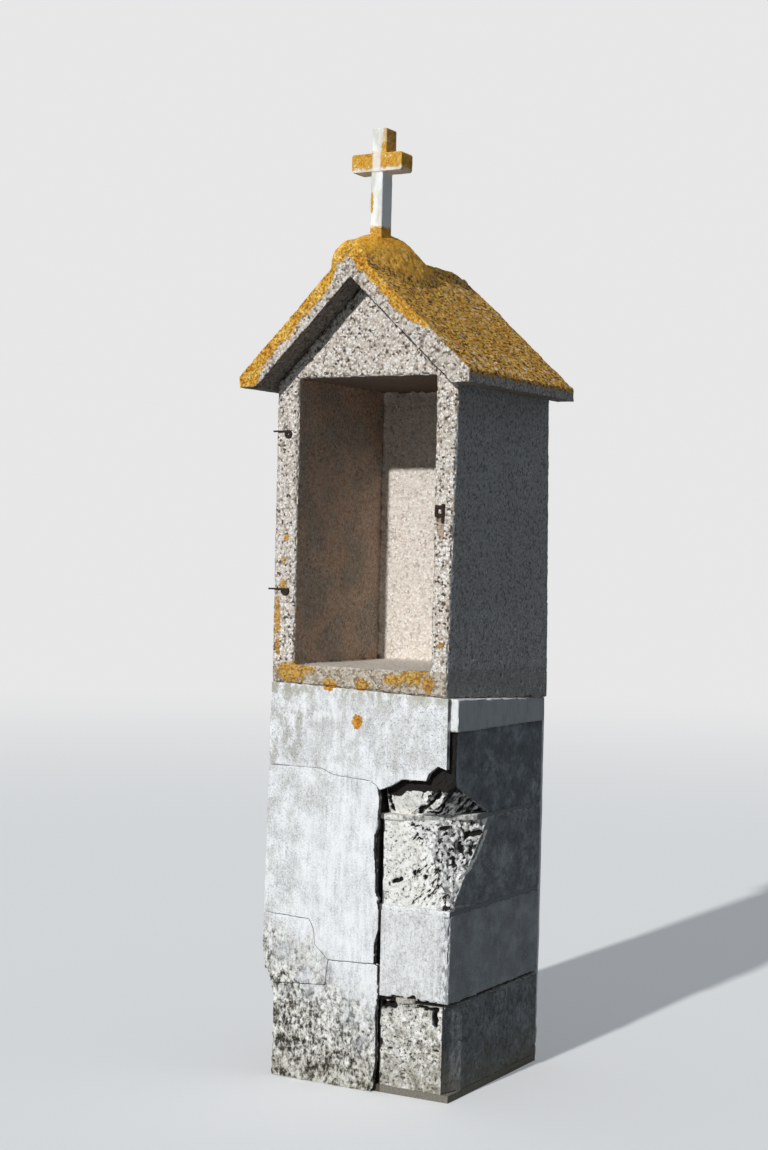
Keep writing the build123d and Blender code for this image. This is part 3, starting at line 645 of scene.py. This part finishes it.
BAND_STAINS = (((-0.125, COAT_FACE, 0.950), (0.085, ANY_DEPTH, 0.070)), ((0.120, COAT_FACE, 0.990), (0.110, ANY_DEPTH, 0.060)),
               ((-0.080, COAT_FACE, 1.007), (0.055, ANY_DEPTH, 0.018)), ((-0.130, COAT_FACE, 0.830), (0.050, ANY_DEPTH, 0.060)),
               ((0.060, COAT_FACE, 1.070), (0.120, ANY_DEPTH, 0.024)))
BAND_WHITES = (((-0.170, COAT_FACE, 1.032), (0.090, ANY_DEPTH, 0.018)), ((0.200, COAT_FACE, 1.082), (0.060, ANY_DEPTH, 0.014)))
RUST_STAIN = ((KEEPER_HIGH.x - 0.004, FRONT, KEEPER_LOW.z - 0.032), (0.013, ANY_DEPTH, 0.030))
SIDE_OVAL = (((RIGHT_FACE, 0.238, 0.838), (ANY_DEPTH, 0.022, 0.040)), ((RIGHT_FACE, -0.05, 0.90), (ANY_DEPTH, 0.06, 0.024)))
SIDE_LIME = (((RIGHT_FACE, 0.18, 0.66), (ANY_DEPTH, 0.032, 0.08)), ((RIGHT_FACE, -0.02, 0.63), (ANY_DEPTH, 0.12, 0.05)))
WORN_PATCHES = (((0.10, 0.165, 2.235), (0.075, 0.05, 0.09)), ((0.02, 0.26, 2.31), (0.05, 0.07, 0.06)))
APEX_LEFT, APEX_RIGHT = -0.062, -0.012
ROOF_STRETCH = (1, 1.8, 1)
CROSS_MIDDLE = -0.006
CROSS_FOOT = 2.396
CROSS_LICHEN = (((-0.020, CROSS_LOW.y, 2.468), (0.006, 0.012, 0.030)), ((0.018, CROSS_LOW.y, 2.622), (0.012, 0.03, 0.016)))


def lumps(place, size, shift=0.0):
    """Smooth noise from about -1 to 1 with lumps of this size in metres."""
    return noise.noise(place / size + Vector((shift, 1.7 * shift, -shift)))


def crumble(place, size, shift=0.0):
    """Broken noise with finer lumps on coarser ones."""
    return noise.fractal(place / size + Vector((shift, -shift, 0.6 * shift)), 0.9, 2.1, 4)


def ramp_up(value, low, high):
    share = min(max((value - low) / (high - low), 0.0), 1.0)
    return share * share * (3 - 2 * share)


def pit(place, size, shift, rare=0.35):
    """0 on most of a face and up to 1 in scattered pits of about this size."""
    return ramp_up(lumps(place, size, shift), rare, rare + 0.3)


def slant_of(normal):
    """1 where a face turns into the next one or is a slanting break, 0 on a flat upright or level face."""
    return ramp_up(sorted(abs(part) for part in normal)[1], 0.2, 0.55)


def solid_of(*nodes, spread=0.0):
    """The surfaces of CAD nodes, each grown by spread so that neighbours run into each other."""
    form = bmesh.new()
    for node in nodes:
        part = bmesh.new()
        part.from_mesh(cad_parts[node].data)
        bmesh.ops.remove_doubles(part, verts=part.verts, dist=MERGE)
        part.normal_update()
        for vert in part.verts:
            vert.co += vert.normal * spread
        grown = bpy.data.meshes.new(node)
        part.to_mesh(grown)
        part.free()
        form.from_mesh(grown)
        bpy.data.meshes.remove(grown)
    return form


def work_in(piece):
    """Turns a piece's modifiers into its mesh."""
    graph = bpy.context.evaluated_depsgraph_get()
    finished = bpy.data.meshes.new_from_object(piece.evaluated_get(graph), preserve_all_data_layers=True,
                                               depsgraph=graph)
    piece.modifiers.clear()
    blank = piece.data
    piece.data = finished
    bpy.data.meshes.remove(blank)
    finished.name = piece.name


def even_mesh(form, name, grain):
    """Covers a form with even squares, which rounds its edges a little and joins what overlaps."""
    blank = bpy.data.meshes.new(name)
    form.to_mesh(blank)
    form.free()
    piece = bpy.data.objects.new(name, blank)
    scene.collection.objects.link(piece)
    remesh = piece.modifiers.new("even", "REMESH")
    remesh.mode = "VOXEL"
    remesh.voxel_size = grain
    remesh.use_smooth_shade = True
    work_in(piece)
    return piece


def smooth(form, verts, times):
    for _ in range(times):
        bmesh.ops.smooth_vert(form, verts=verts, factor=0.5, use_axis_x=True, use_axis_y=True, use_axis_z=True)


def weather(piece, wear, kept, times=1, chosen=None, chosen_times=0):
    """Smooths a piece, wears its surface and thins its flat stretches.

    For each point, wear gives how far it moves along its normal and towards the front, in metres, and how
    much of a hollow it is: 1 deep in a crevice, below 0 on a ridge. The piece keeps this at each point, and
    whether the face looks to the front and to the right, as the breaks of the corner do.
    """
    form = bmesh.new()
    form.from_mesh(piece.data)
    hollows = form.verts.layers.float.new("hollow")
    broken = form.verts.layers.float.new("broken")
    smooth(form, form.verts, times)
    if chosen:
        smooth(form, [vert for vert in form.verts if chosen(vert.co)], chosen_times)
    form.normal_update()
    low, high = cad_box
    for vert in form.verts:
        move, forward, hollow = wear(vert.co, vert.normal)
        vert[hollows] = hollow
        vert[broken] = ramp_up(min(vert.normal.x, -vert.normal.y), 0.12, 0.25)
        moved = vert.co + vert.normal * move + Vector((0, -forward, 0))
        vert.co = [min(max(part, least), most) for part, least, most in zip(moved, low, high)]
    form.to_mesh(piece.data)
    form.free()
    thin = piece.modifiers.new("thin", "DECIMATE")
    thin.ratio = kept
    work_in(piece)
    piece.data.shade_smooth()
    piece.data.set_sharp_from_angle(angle=SHARP_EDGE)


def stand_for(piece, material, slot, *nodes):
    """Gives a piece its finish and lets it stand for its CAD nodes."""
    piece.data.materials.clear()
    piece.data.materials.append(material)
    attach(piece, "root")
    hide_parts(*nodes)


def coat_node(node, material):
    """Gives a CAD node that stays its finish."""
    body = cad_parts[node]
    if not body.material_slots:
        body.data.materials.append(material)
    for slot in body.material_slots:
        slot.material = material


def niche_wear(place, normal):
    slant = slant_of(normal)
    flat = 0.0008 * lumps(place, 0.11) + 0.0007 * lumps(place, 0.024, 2.0) + 0.0004 * lumps(place, 0.012, 5.0)
    bites = slant * pit(place, 0.014, 3.0, 0.05)
    pits = pit(place, 0.011, 7.0, 0.40)
    arris = slant * (0.0012 * lumps(place, 0.05, 4.0) - 0.0004)
    return flat - 0.0004 - 0.003 * pits - 0.006 * bites + arris, 0.0, max(pits, 0.7 * bites)


def roof_wear(place, normal):
    slant = slant_of(normal) if normal.z < 0.5 else 0.0
    crust = ramp_up(normal.z, 0.2, 0.6)
    stones = 0.0022 * lumps(place, 0.07, 1.0) + 0.0018 * lumps(place, 0.022, 6.0) + 0.0016 * lumps(place, 0.011, 3.0)
    end = -0.012 * ramp_up(place.y, 0.20, ROOF_HIGH.y) * ramp_up(0.06 - abs(place.x - RIDGE_X), 0.0, 0.05)
    pits = pit(place, 0.011, 9.0, 0.40) * (1 - crust)
    rim = 0.0026 * lumps(place, 0.02, 7.0) - 0.003 * pit(place, 0.014, 2.0, 0.15)
    fine = 0.0005 * lumps(place, 0.013, 2.0) - 0.0012
    return crust * (stones + end) - 0.0028 * pits + fine + slant * rim, 0.0, pits


def on_heap(place):
    """Whether a point is on the mound or the strip along the ridge, which blend into the slopes."""
    fall = max((place.x - RIDGE_X) * RIGHT_SLOPE, (RIDGE_X - place.x) * LEFT_SLOPE)
    return place.z - RIDGE + fall > 0.002 and abs(place.x) < 0.15 and place.y > ROOF_LOW.y + 0.012


# How crumbly the front of each right block is, how pitted, and how splintered its breaks, from 0 to 1
BLOCK_WEAR = {1: (1.6, 1.0, 0.7), 2: (0.15, 0.1, 0.7), 3: (0.50, 0.8, 1.0), 4: (0.45, 0.6, 1.0)}
SPLINTER_LEAN = radians(30)
SPLIT_LEAN = radians(40)
SPLINTERS = Matrix.Diagonal((1, 1, 0.3)) @ Matrix.Rotation(-SPLINTER_LEAN, 3, "Y")

# Crevices and ridges of the broken corner: how far each stands out, its half width, and its points
BLOCK_LINES = {
    1: ((-0.024, 0.018, (0.080, -0.276, 0.252), (0.120, -0.276, 0.248)),
        (-0.014, 0.006, (0.205, -0.276, 0.250), (0.262, -0.276, 0.250)),
        (-0.020, 0.009, (0.252, -0.276, 0.238), (0.257, -0.276, 0.206))),
    2: ((-0.010, 0.008, (0.128, -0.287, 0.268), (0.190, -0.287, 0.272)),
        (-0.008, 0.007, (0.205, -0.287, 0.268), (0.285, -0.287, 0.263))),
    3: ((-0.010, 0.010, (0.268, -0.226, 0.662), (0.270, -0.220, 0.650)),
        (-0.014, 0.009, (0.275, -0.186, 0.697), (0.281, -0.187, 0.657)),
        (-0.018, 0.013, (0.275, -0.158, 0.714), (0.289, -0.105, 0.722)),
        (-0.012, 0.008, (0.288, -0.144, 0.690), (0.288, -0.170, 0.657)),
        (-0.012, 0.007, (0.120, -0.279, 0.588), (0.142, -0.279, 0.598)),
        (-0.009, 0.006, (0.184, -0.279, 0.619), (0.184, -0.279, 0.613)),
        (-0.009, 0.006, (0.214, -0.279, 0.610), (0.216, -0.279, 0.606)),
        (-0.008, 0.006, (0.222, -0.250, 0.664), (0.226, -0.250, 0.660)),
        (-0.008, 0.008, (0.228, -0.215, 0.735), (0.246, -0.185, 0.738)),
        (0.011, 0.008, (0.297, -0.071, 0.719), (0.297, -0.101, 0.683), (0.297, -0.160, 0.629), (0.293, -0.205, 0.615),
         (0.291, -0.235, 0.586), (0.291, -0.262, 0.557), (0.293, -0.276, 0.538)),
        (0.009, 0.007, (0.285, -0.150, 0.696), (0.285, -0.179, 0.664), (0.293, -0.150, 0.645)),
        (0.010, 0.007, (0.266, -0.157, 0.734), (0.292, -0.104, 0.731))),
    4: ((-0.013, 0.009, (0.251, -0.269, 0.835), (0.216, -0.261, 0.810), (0.181, -0.253, 0.784)),
        (-0.013, 0.009, (0.282, -0.272, 0.846), (0.256, -0.249, 0.812), (0.222, -0.224, 0.779)),
        (-0.015, 0.006, (0.089, -0.265, 0.818), (0.098, -0.256, 0.772)),
        (-0.012, 0.009, (0.215, -0.240, 0.782), (0.232, -0.225, 0.776)),
        (0.010, 0.008, (0.243, -0.272, 0.845), (0.205, -0.258, 0.806)),
        (0.012, 0.008, (0.272, -0.268, 0.868), (0.264, -0.246, 0.818)),
        (0.010, 0.007, (0.272, -0.125, 0.768), (0.292, -0.095, 0.779))),
}
SIDE_LEDGE = ((RIGHT_FACE, -0.262, 0.529), (RIGHT_FACE, -0.140, 0.524))


def lines_at(place, lines):
    """How far the lines push a point to the front, and its hollow: 1 in a crevice, -1 on a ridge."""
    forward = hollow = ridge = 0.0
    wandering = place + 0.005 * noise.noise_vector(place / 0.018) + 0.004 * noise.noise_vector(place / 0.008)
    width = 1.0 + 0.7 * lumps(place, 0.012, 4.0)
    for height, reach, *points in lines:
        ends = zip(points, points[1:])
        near = max(stroke(wandering, Vector(start), Vector(end), reach * width) for start, end in ends)
        forward += height * near
        if height < 0:
            hollow = max(hollow, near)
        else:
            ridge = max(ridge, near)
    return forward, hollow - ridge


def stroke(place, start, end, reach):
    """1 on the line between two points, falling to 0 at its half width."""
    line = end - start
    share = min(max((place - start).dot(line) / line.length_squared, 0.0), 1.0)
    return 1 - ramp_up((place - start - share * line).length, 0.35 * reach, reach)


# The top of course 4 is hollow under the edge of the coat, further down on its left; the finish paints this hollow dark
# as shade
UNDER_COAT_LEFT = 0.824
UNDER_COAT_RIGHT = 0.842


def under_coat(place):
    edge = UNDER_COAT_LEFT + (UNDER_COAT_RIGHT - UNDER_COAT_LEFT) * ramp_up(place.x, 0.12, 0.16)
    return ramp_up(place.z - edge + 0.005 * crumble(place, 0.02, 2.0), -0.003, 0.004)


def block_wear(course, low, high):
    """Wear for one right block."""
    crumbly, pitted, splintered = BLOCK_WEAR[course]
    shift = float(course)

    def wear(place, normal):
        if normal.x < -0.7 or normal.y > 0.7:
            return 0.0, 0.0, 0.0
        slant = slant_of(normal)
        front = ramp_up(-normal.y, 0.3, 0.8)
        side = ramp_up(normal.x, 0.5, 0.8)
        base = 0.0007 * lumps(place, 0.09, shift) + 0.0005 * lumps(place, 0.022, shift)
        rough = crumbly * max(front, 0.3 * side) * (0.0022 * crumble(place, 0.034, shift) - 0.0008)
        pits = pitted * max(front, 0.3 * side) * pit(place, 0.011, shift + 5, 0.38)
        from_edge = min(high.z - place.z, place.z - low.z)
        chips = crumbly * front * ramp_up(0.03 - from_edge, 0.0, 0.03) * max(0.0, lumps(place, 0.04, shift + 1))
        near_side = ramp_up(place.x, 0.20, 0.27)
        splinters = slant * splintered * near_side * pit(SPLINTERS @ place, 0.014, shift + 3, 0.0)
        split = slant * splintered * (0.0025 + 0.0035 * near_side) * crumble(place, 0.024, shift)
        forward, hollow = lines_at(place, BLOCK_LINES[course]) if place.y < 0 else (0.0, 0.0)
        ledge = 0.0
        if course == 3 and side > 0:
            ledge = side * stroke(place, Vector(SIDE_LEDGE[0]), Vector(SIDE_LEDGE[1]), 0.006)
        if course == 4:
            covered = under_coat(place)
            forward -= 0.012 * covered * front
            hollow = max(hollow, covered * ramp_up(-normal.y, 0.02, 0.2))
        left_edge = front * ramp_up(0.010 - (place.x - low.x), 0.0, 0.008) * crumbly
        forward -= 0.014 * left_edge * max(0.0, crumble(place, 0.03, shift + 7))
        move = base + rough + split - 0.0034 * pits - 0.009 * chips - 0.008 * splinters + 0.004 * ledge - 0.0004
        return move, forward, hollow if hollow < 0 else max(hollow, 0.6 * pits, 0.55 * splinters)
    return wear


def near_corner(place):
    """Whether a point is on the worn upright corner of the right blocks."""
    return place.x > RIGHT_FACE - 0.016 and place.y < BLOCK_FACE + 0.022


# The mortar that is left in the front of joint 1, from and to in metres across
PLUG_LEFT, PLUG_RIGHT = 0.124, 0.205
PLUG_RISE = 0.016


def first_joint_wear(place, normal):
    """Joint 1 has fallen out except for a plug at its front."""
    if abs(normal.z) > 0.7 or normal.y > -0.4:
        return 0.0, 0.0, 0.0
    plug = ramp_up(place.x, PLUG_LEFT, PLUG_LEFT + 0.02) * ramp_up(-place.x, -PLUG_RIGHT, -PLUG_RIGHT + 0.03)
    rough = (0.002 + 0.004 * plug) * lumps(place, 0.02, 3.0) + 0.0016 * crumble(place, 0.012, 5.0)
    return rough, PLUG_RISE * plug, 0.0


def joint_wear(place, normal):
    """Joints 2 and 3 are nearly flush with the blocks."""
    if normal.x < -0.7 or abs(normal.z) > 0.7 or normal.y > 0.7:
        return 0.0, 0.0, 0.0
    front = ramp_up(-normal.y, 0.3, 0.8)
    return 0.0004 + front * (0.0008 + 0.0018 * lumps(place, 0.03, 3.0) + 0.0012 * crumble(place, 0.012, 5.0)), 0.0, 0.0


def coat_wear(place, normal):
    if normal.y > 0.7:
        return 0.0, 0.0, 0.0
    foot = ramp_up(0.36 - place.z, 0.0, 0.2)
    trowelled = 0.0012 * lumps(place, 0.12, 1.0) + 0.0004 * lumps(place, 0.028, 2.0)
    pits = foot * pit(place, 0.012, 6.0, 0.28)
    eroded = foot * (0.0026 * crumble(place, 0.024, 4.0) - 0.0016)
    edge = 1 - ramp_up(abs(normal.y), 0.3, 0.7)
    level = Vector((place.x, 0.0, place.z))
    inner = place.x > COAT_LEFT + 0.02 and FOOT_EDGE < place.z < BAND_HIGH.z - 0.02
    # The rims along the cracks count as hollows, which the finish darkens as painted shade.
    crack = 0.9 * edge * ramp_up(lumps(level, 0.035, 9.0), -0.5, 0.1) if inner else 0.0
    ragged = edge * (0.0018 * crumble(level, 0.022, 3.0) - 0.0010)
    if place.x > GAP_LEFT - 0.03 and BROKEN_EDGE_TOP > place.z:
        ragged += edge * (0.0045 * lumps(level, 0.05, 4.0) + 0.0075 * crumble(level, 0.02, 6.0))
    return trowelled + eroded - 0.003 * pits + ragged, 0.0, max(pits, crack)


def plain_coat_wear(place, normal):
    foot = ramp_up(0.3 - place.z, 0.0, 0.2)
    trowelled = 0.0014 * lumps(place, 0.13, 5.0) + 0.0005 * lumps(place, 0.035, 2.0)
    pits = foot * pit(place, 0.014, 6.0, 0.3)
    return trowelled + foot * (0.0026 * crumble(place, 0.026, 4.0) - 0.0018) - 0.0004 - 0.003 * pits, 0.0, pits


def bed_wear(place, normal):
    slant = slant_of(normal)
    flat = 0.001 * lumps(place, 0.05, 8.0) + 0.0008 * crumble(place, 0.02, 2.0)
    return flat - 0.0008 + slant * 0.0028 * lumps(place, 0.03), 0.0, 0.0


def cross_wear(place, normal):
    slant = slant_of(normal)
    flat = 0.0006 * lumps(place, 0.03, 2.0) + 0.0004 * lumps(place, 0.01)
    return flat - 0.0003 - slant * (0.0006 + 0.0012 * max(0.0, lumps(place, 0.014))), 0.0, 0.0


def iron_wear(place, normal):
    return 0.0003 * lumps(place, 0.006) + 0.00025 * lumps(place, 0.0025, 3.0) - 0.0001, 0.0, 0.0


def build_niche_and_roof():
    niche = even_mesh(solid_of(*NICHE_NODES, spread=0.0008), "niche_shell", NICHE_GRAIN)
    weather(niche, niche_wear, NICHE_KEPT)
    stand_for(niche, niche_finish(), "pebble_concrete", *NICHE_NODES)
    roof = even_mesh(solid_of(*ROOF_NODES, spread=0.0012), "roof_and_mound", ROOF_GRAIN)
    weather(roof, roof_wear, ROOF_KEPT, chosen=on_heap, chosen_times=12)
    stand_for(roof, roof_finish(), "roof_mortar", *ROOF_NODES)


def stretch(form, axis, lap):
    """Makes a form longer by lap at both its ends along an axis."""
    places = [vert.co[axis] for vert in form.verts]
    middle = (min(places) + max(places)) / 2
    for vert in form.verts:
        vert.co[axis] += lap if vert.co[axis] > middle else -lap


def build_masonry():
    """The right blocks and the bed joints. The left blocks and the footing bed stay as they are."""
    concrete = block_finish()
    gap_shade = gap_shade_finish()
    for course in BLOCK_WEAR:
        node = f"course_{course}_right_block"
        block = even_mesh(solid_of(node), f"right_block_{course}", BLOCK_GRAIN)
        wear = block_wear(course, *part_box(node))
        weather(block, wear, BLOCK_KEPT, times=0, chosen=near_corner, chosen_times=CORNER_ROUNDING)
        stand_for(block, concrete, "block_concrete", node)
        coat_node(f"course_{course}_left_block", gap_shade)

    mortar = mortar_finish()
    for course, wear in ((1, first_joint_wear), (2, joint_wear), (3, joint_wear)):
        node = f"bed_joint_{course}"
        form = solid_of(node)
        stretch(form, 2, JOINT_LAP)
        joint = even_mesh(form, f"joint_mortar_{course}", JOINT_GRAIN)
        weather(joint, wear, JOINT_KEPT, times=0)
        stand_for(joint, mortar, "bed_mortar", node)
    bed = even_mesh(solid_of("levelling_bed"), "top_bed", BED_GRAIN)
    weather(bed, bed_wear, BED_KEPT)
    stand_for(bed, mortar, "bed_mortar", "levelling_bed")
    coat_node("footing_bed", mortar)


def build_coat():
    """The four pieces of the cracked front coat, and the plain left and back coats."""
    render = coat_finish()
    for share in ("band", "sheet", "patch", "foot"):
        node = f"front_render_{share}"
        form = solid_of(node)
        if share == "band":
            for vert in form.verts:
                if vert.co.x > GAP_RIGHT and vert.co.z < BROKEN_EDGE_TOP:
                    vert.co.z += BROKEN_EDGE_LIFT
        piece = even_mesh(form, f"front_coat_{share}", COAT_GRAIN)
        weather(piece, coat_wear, COAT_KEPT, times=0)
        stand_for(piece, render, "render_coat", node)
    for side in ("left", "back"):
        node = f"{side}_render"
        form = solid_of(node)
        if side == "left":
            stretch(form, 1, COAT_LAP)
        piece = even_mesh(form, f"{side}_coat", PLAIN_COAT_GRAIN)
        weather(piece, plain_coat_wear, PLAIN_COAT_KEPT)
        stand_for(piece, render, "render_coat", node)


def build_cross_and_irons():
    cross = even_mesh(solid_of("cross"), "cross_casting", CROSS_GRAIN)
    weather(cross, cross_wear, CROSS_KEPT, times=2)
    stand_for(cross, cross_finish(), "cross_stone", "cross")
    rust = iron_finish()
    for node in ("upper_hinge_eye", "lower_hinge_knuckle", "latch_keeper", "latch_pin"):
        iron = even_mesh(solid_of(node), f"{node}_forging", IRON_GRAIN)
        weather(iron, iron_wear, IRON_KEPT, times=2)
        stand_for(iron, rust, "rusty_iron", node)


def seen_by_eye(nodes, links):
    """1 for what the camera, a mirror or a glass sees, and 0 for light that the surface throws back."""
    rays = nodes.new("ShaderNodeLightPath")
    seen = rays.outputs["Is Camera Ray"]
    for other in ("Is Glossy Ray", "Is Transmission Ray"):
        either = nodes.new("ShaderNodeMath")
        either.operation = "MAXIMUM"
        links.new(seen, either.inputs[0])
        links.new(rays.outputs[other], either.inputs[1])
        seen = either.outputs[0]
    return seen


def shader_mix(nodes, links, factor, first, second):
    mix = nodes.new("ShaderNodeMixShader")
    links.new(factor, mix.inputs[0])
    links.new(first, mix.inputs[1])
    links.new(second, mix.inputs[2])
    return mix.outputs[0]


def add_floor():
    """A plain floor that keeps the shrine's shadow and fades into the pale distance."""
    form = bmesh.new()
    bmesh.ops.create_circle(form, cap_ends=True, segments=96, radius=FLOOR_REACH)
    sheet = bpy.data.meshes.new("floor")
    form.to_mesh(sheet)
    form.free()
    floor = bpy.data.objects.new("floor", sheet)
    scene.collection.objects.link(floor)
    paint = bpy.data.materials.new("floor")
    paint.use_nodes = True
    nodes, links = paint.node_tree.nodes, paint.node_tree.links
    near = nodes["Principled BSDF"]
    near.inputs["Base Color"].default_value = (FLOOR_TONE, FLOOR_TONE, FLOOR_TONE, 1)
    near.inputs["Roughness"].default_value = 1.0
    near.inputs["Specular IOR Level"].default_value = 0.0
    near.inputs["Emission Color"].default_value = (1, 1, 1, 1)
    near.inputs["Emission Strength"].default_value = FLOOR_GLOW
    far = nodes.new("ShaderNodeEmission")
    far.inputs["Color"].default_value = (FAR_TONE, FAR_TONE, FAR_TONE, 1)
    bounce = nodes.new("ShaderNodeBsdfDiffuse")
    bounce.inputs["Color"].default_value = (FLOOR_BOUNCE, FLOOR_BOUNCE, FLOOR_BOUNCE, 1)
    place = nodes.new("ShaderNodeTexCoord")
    away = nodes.new("ShaderNodeVectorMath")
    away.operation = "LENGTH"
    links.new(place.outputs["Object"], away.inputs[0])
    fade = nodes.new("ShaderNodeMapRange")
    fade.interpolation_type = "SMOOTHSTEP"
    fade.inputs["From Min"].default_value = NEAR_REACH
    fade.inputs["From Max"].default_value = FAR_REACH
    links.new(away.outputs["Value"], fade.inputs["Value"])
    look = shader_mix(nodes, links, fade.outputs[0], near.outputs[0], far.outputs[0])
    whole = shader_mix(nodes, links, seen_by_eye(nodes, links), bounce.outputs[0], look)
    links.new(whole, nodes["Material Output"].inputs["Surface"])
    sheet.materials.append(paint)


def add_lamp(name, power, spread, lift, left):
    lamp = bpy.data.lights.new(name, "SUN")
    lamp.energy = power
    lamp.angle = radians(spread)
    holder = bpy.data.objects.new(name, lamp)
    holder.rotation_euler = (radians(90 - lift), 0, radians(-left))
    scene.collection.objects.link(holder)


def add_light():
    """Sun, overhead lamp and even sky, with a pale background."""
    add_lamp("sun", SUN_POWER, SUN_SPREAD, SUN_LIFT, SUN_LEFT)
    add_lamp("overhead", TOP_POWER, TOP_SPREAD, 90, 0)
    world = bpy.data.worlds.new("studio")
    world.use_nodes = True
    nodes, links = world.node_tree.nodes, world.node_tree.links
    sky = nodes["Background"]
    sky.inputs["Color"].default_value = SKY_TINT
    sky.inputs["Strength"].default_value = SKY_POWER
    backdrop = nodes.new("ShaderNodeBackground")
    backdrop.inputs["Color"].default_value = (FAR_TONE, FAR_TONE, FAR_TONE, 1)
    whole = shader_mix(nodes, links, seen_by_eye(nodes, links), sky.outputs[0], backdrop.outputs[0])
    links.new(whole, nodes["World Output"].inputs["Surface"])
    scene.world = world


def add_camera():
    data = bpy.data.cameras.new("camera")
    data.sensor_width = SENSOR_MM
    data.lens = FOCAL_PX / PHOTO_HEIGHT_PX * SENSOR_MM
    camera = bpy.data.objects.new("camera", data)
    turn = Matrix.Rotation(radians(EYE_TURN), 4, "Z")
    lift = Matrix.Rotation(pi / 2 + radians(EYE_LIFT), 4, "X")
    roll = Matrix.Rotation(radians(EYE_ROLL), 4, "Z")
    camera.matrix_world = Matrix.Translation(EYE) @ turn @ lift @ roll
    scene.collection.objects.link(camera)
    scene.camera = camera


build_niche_and_roof()
build_masonry()
build_coat()
build_cross_and_irons()
add_floor()
add_light()
add_camera()
scene.view_settings.view_transform = "Standard"
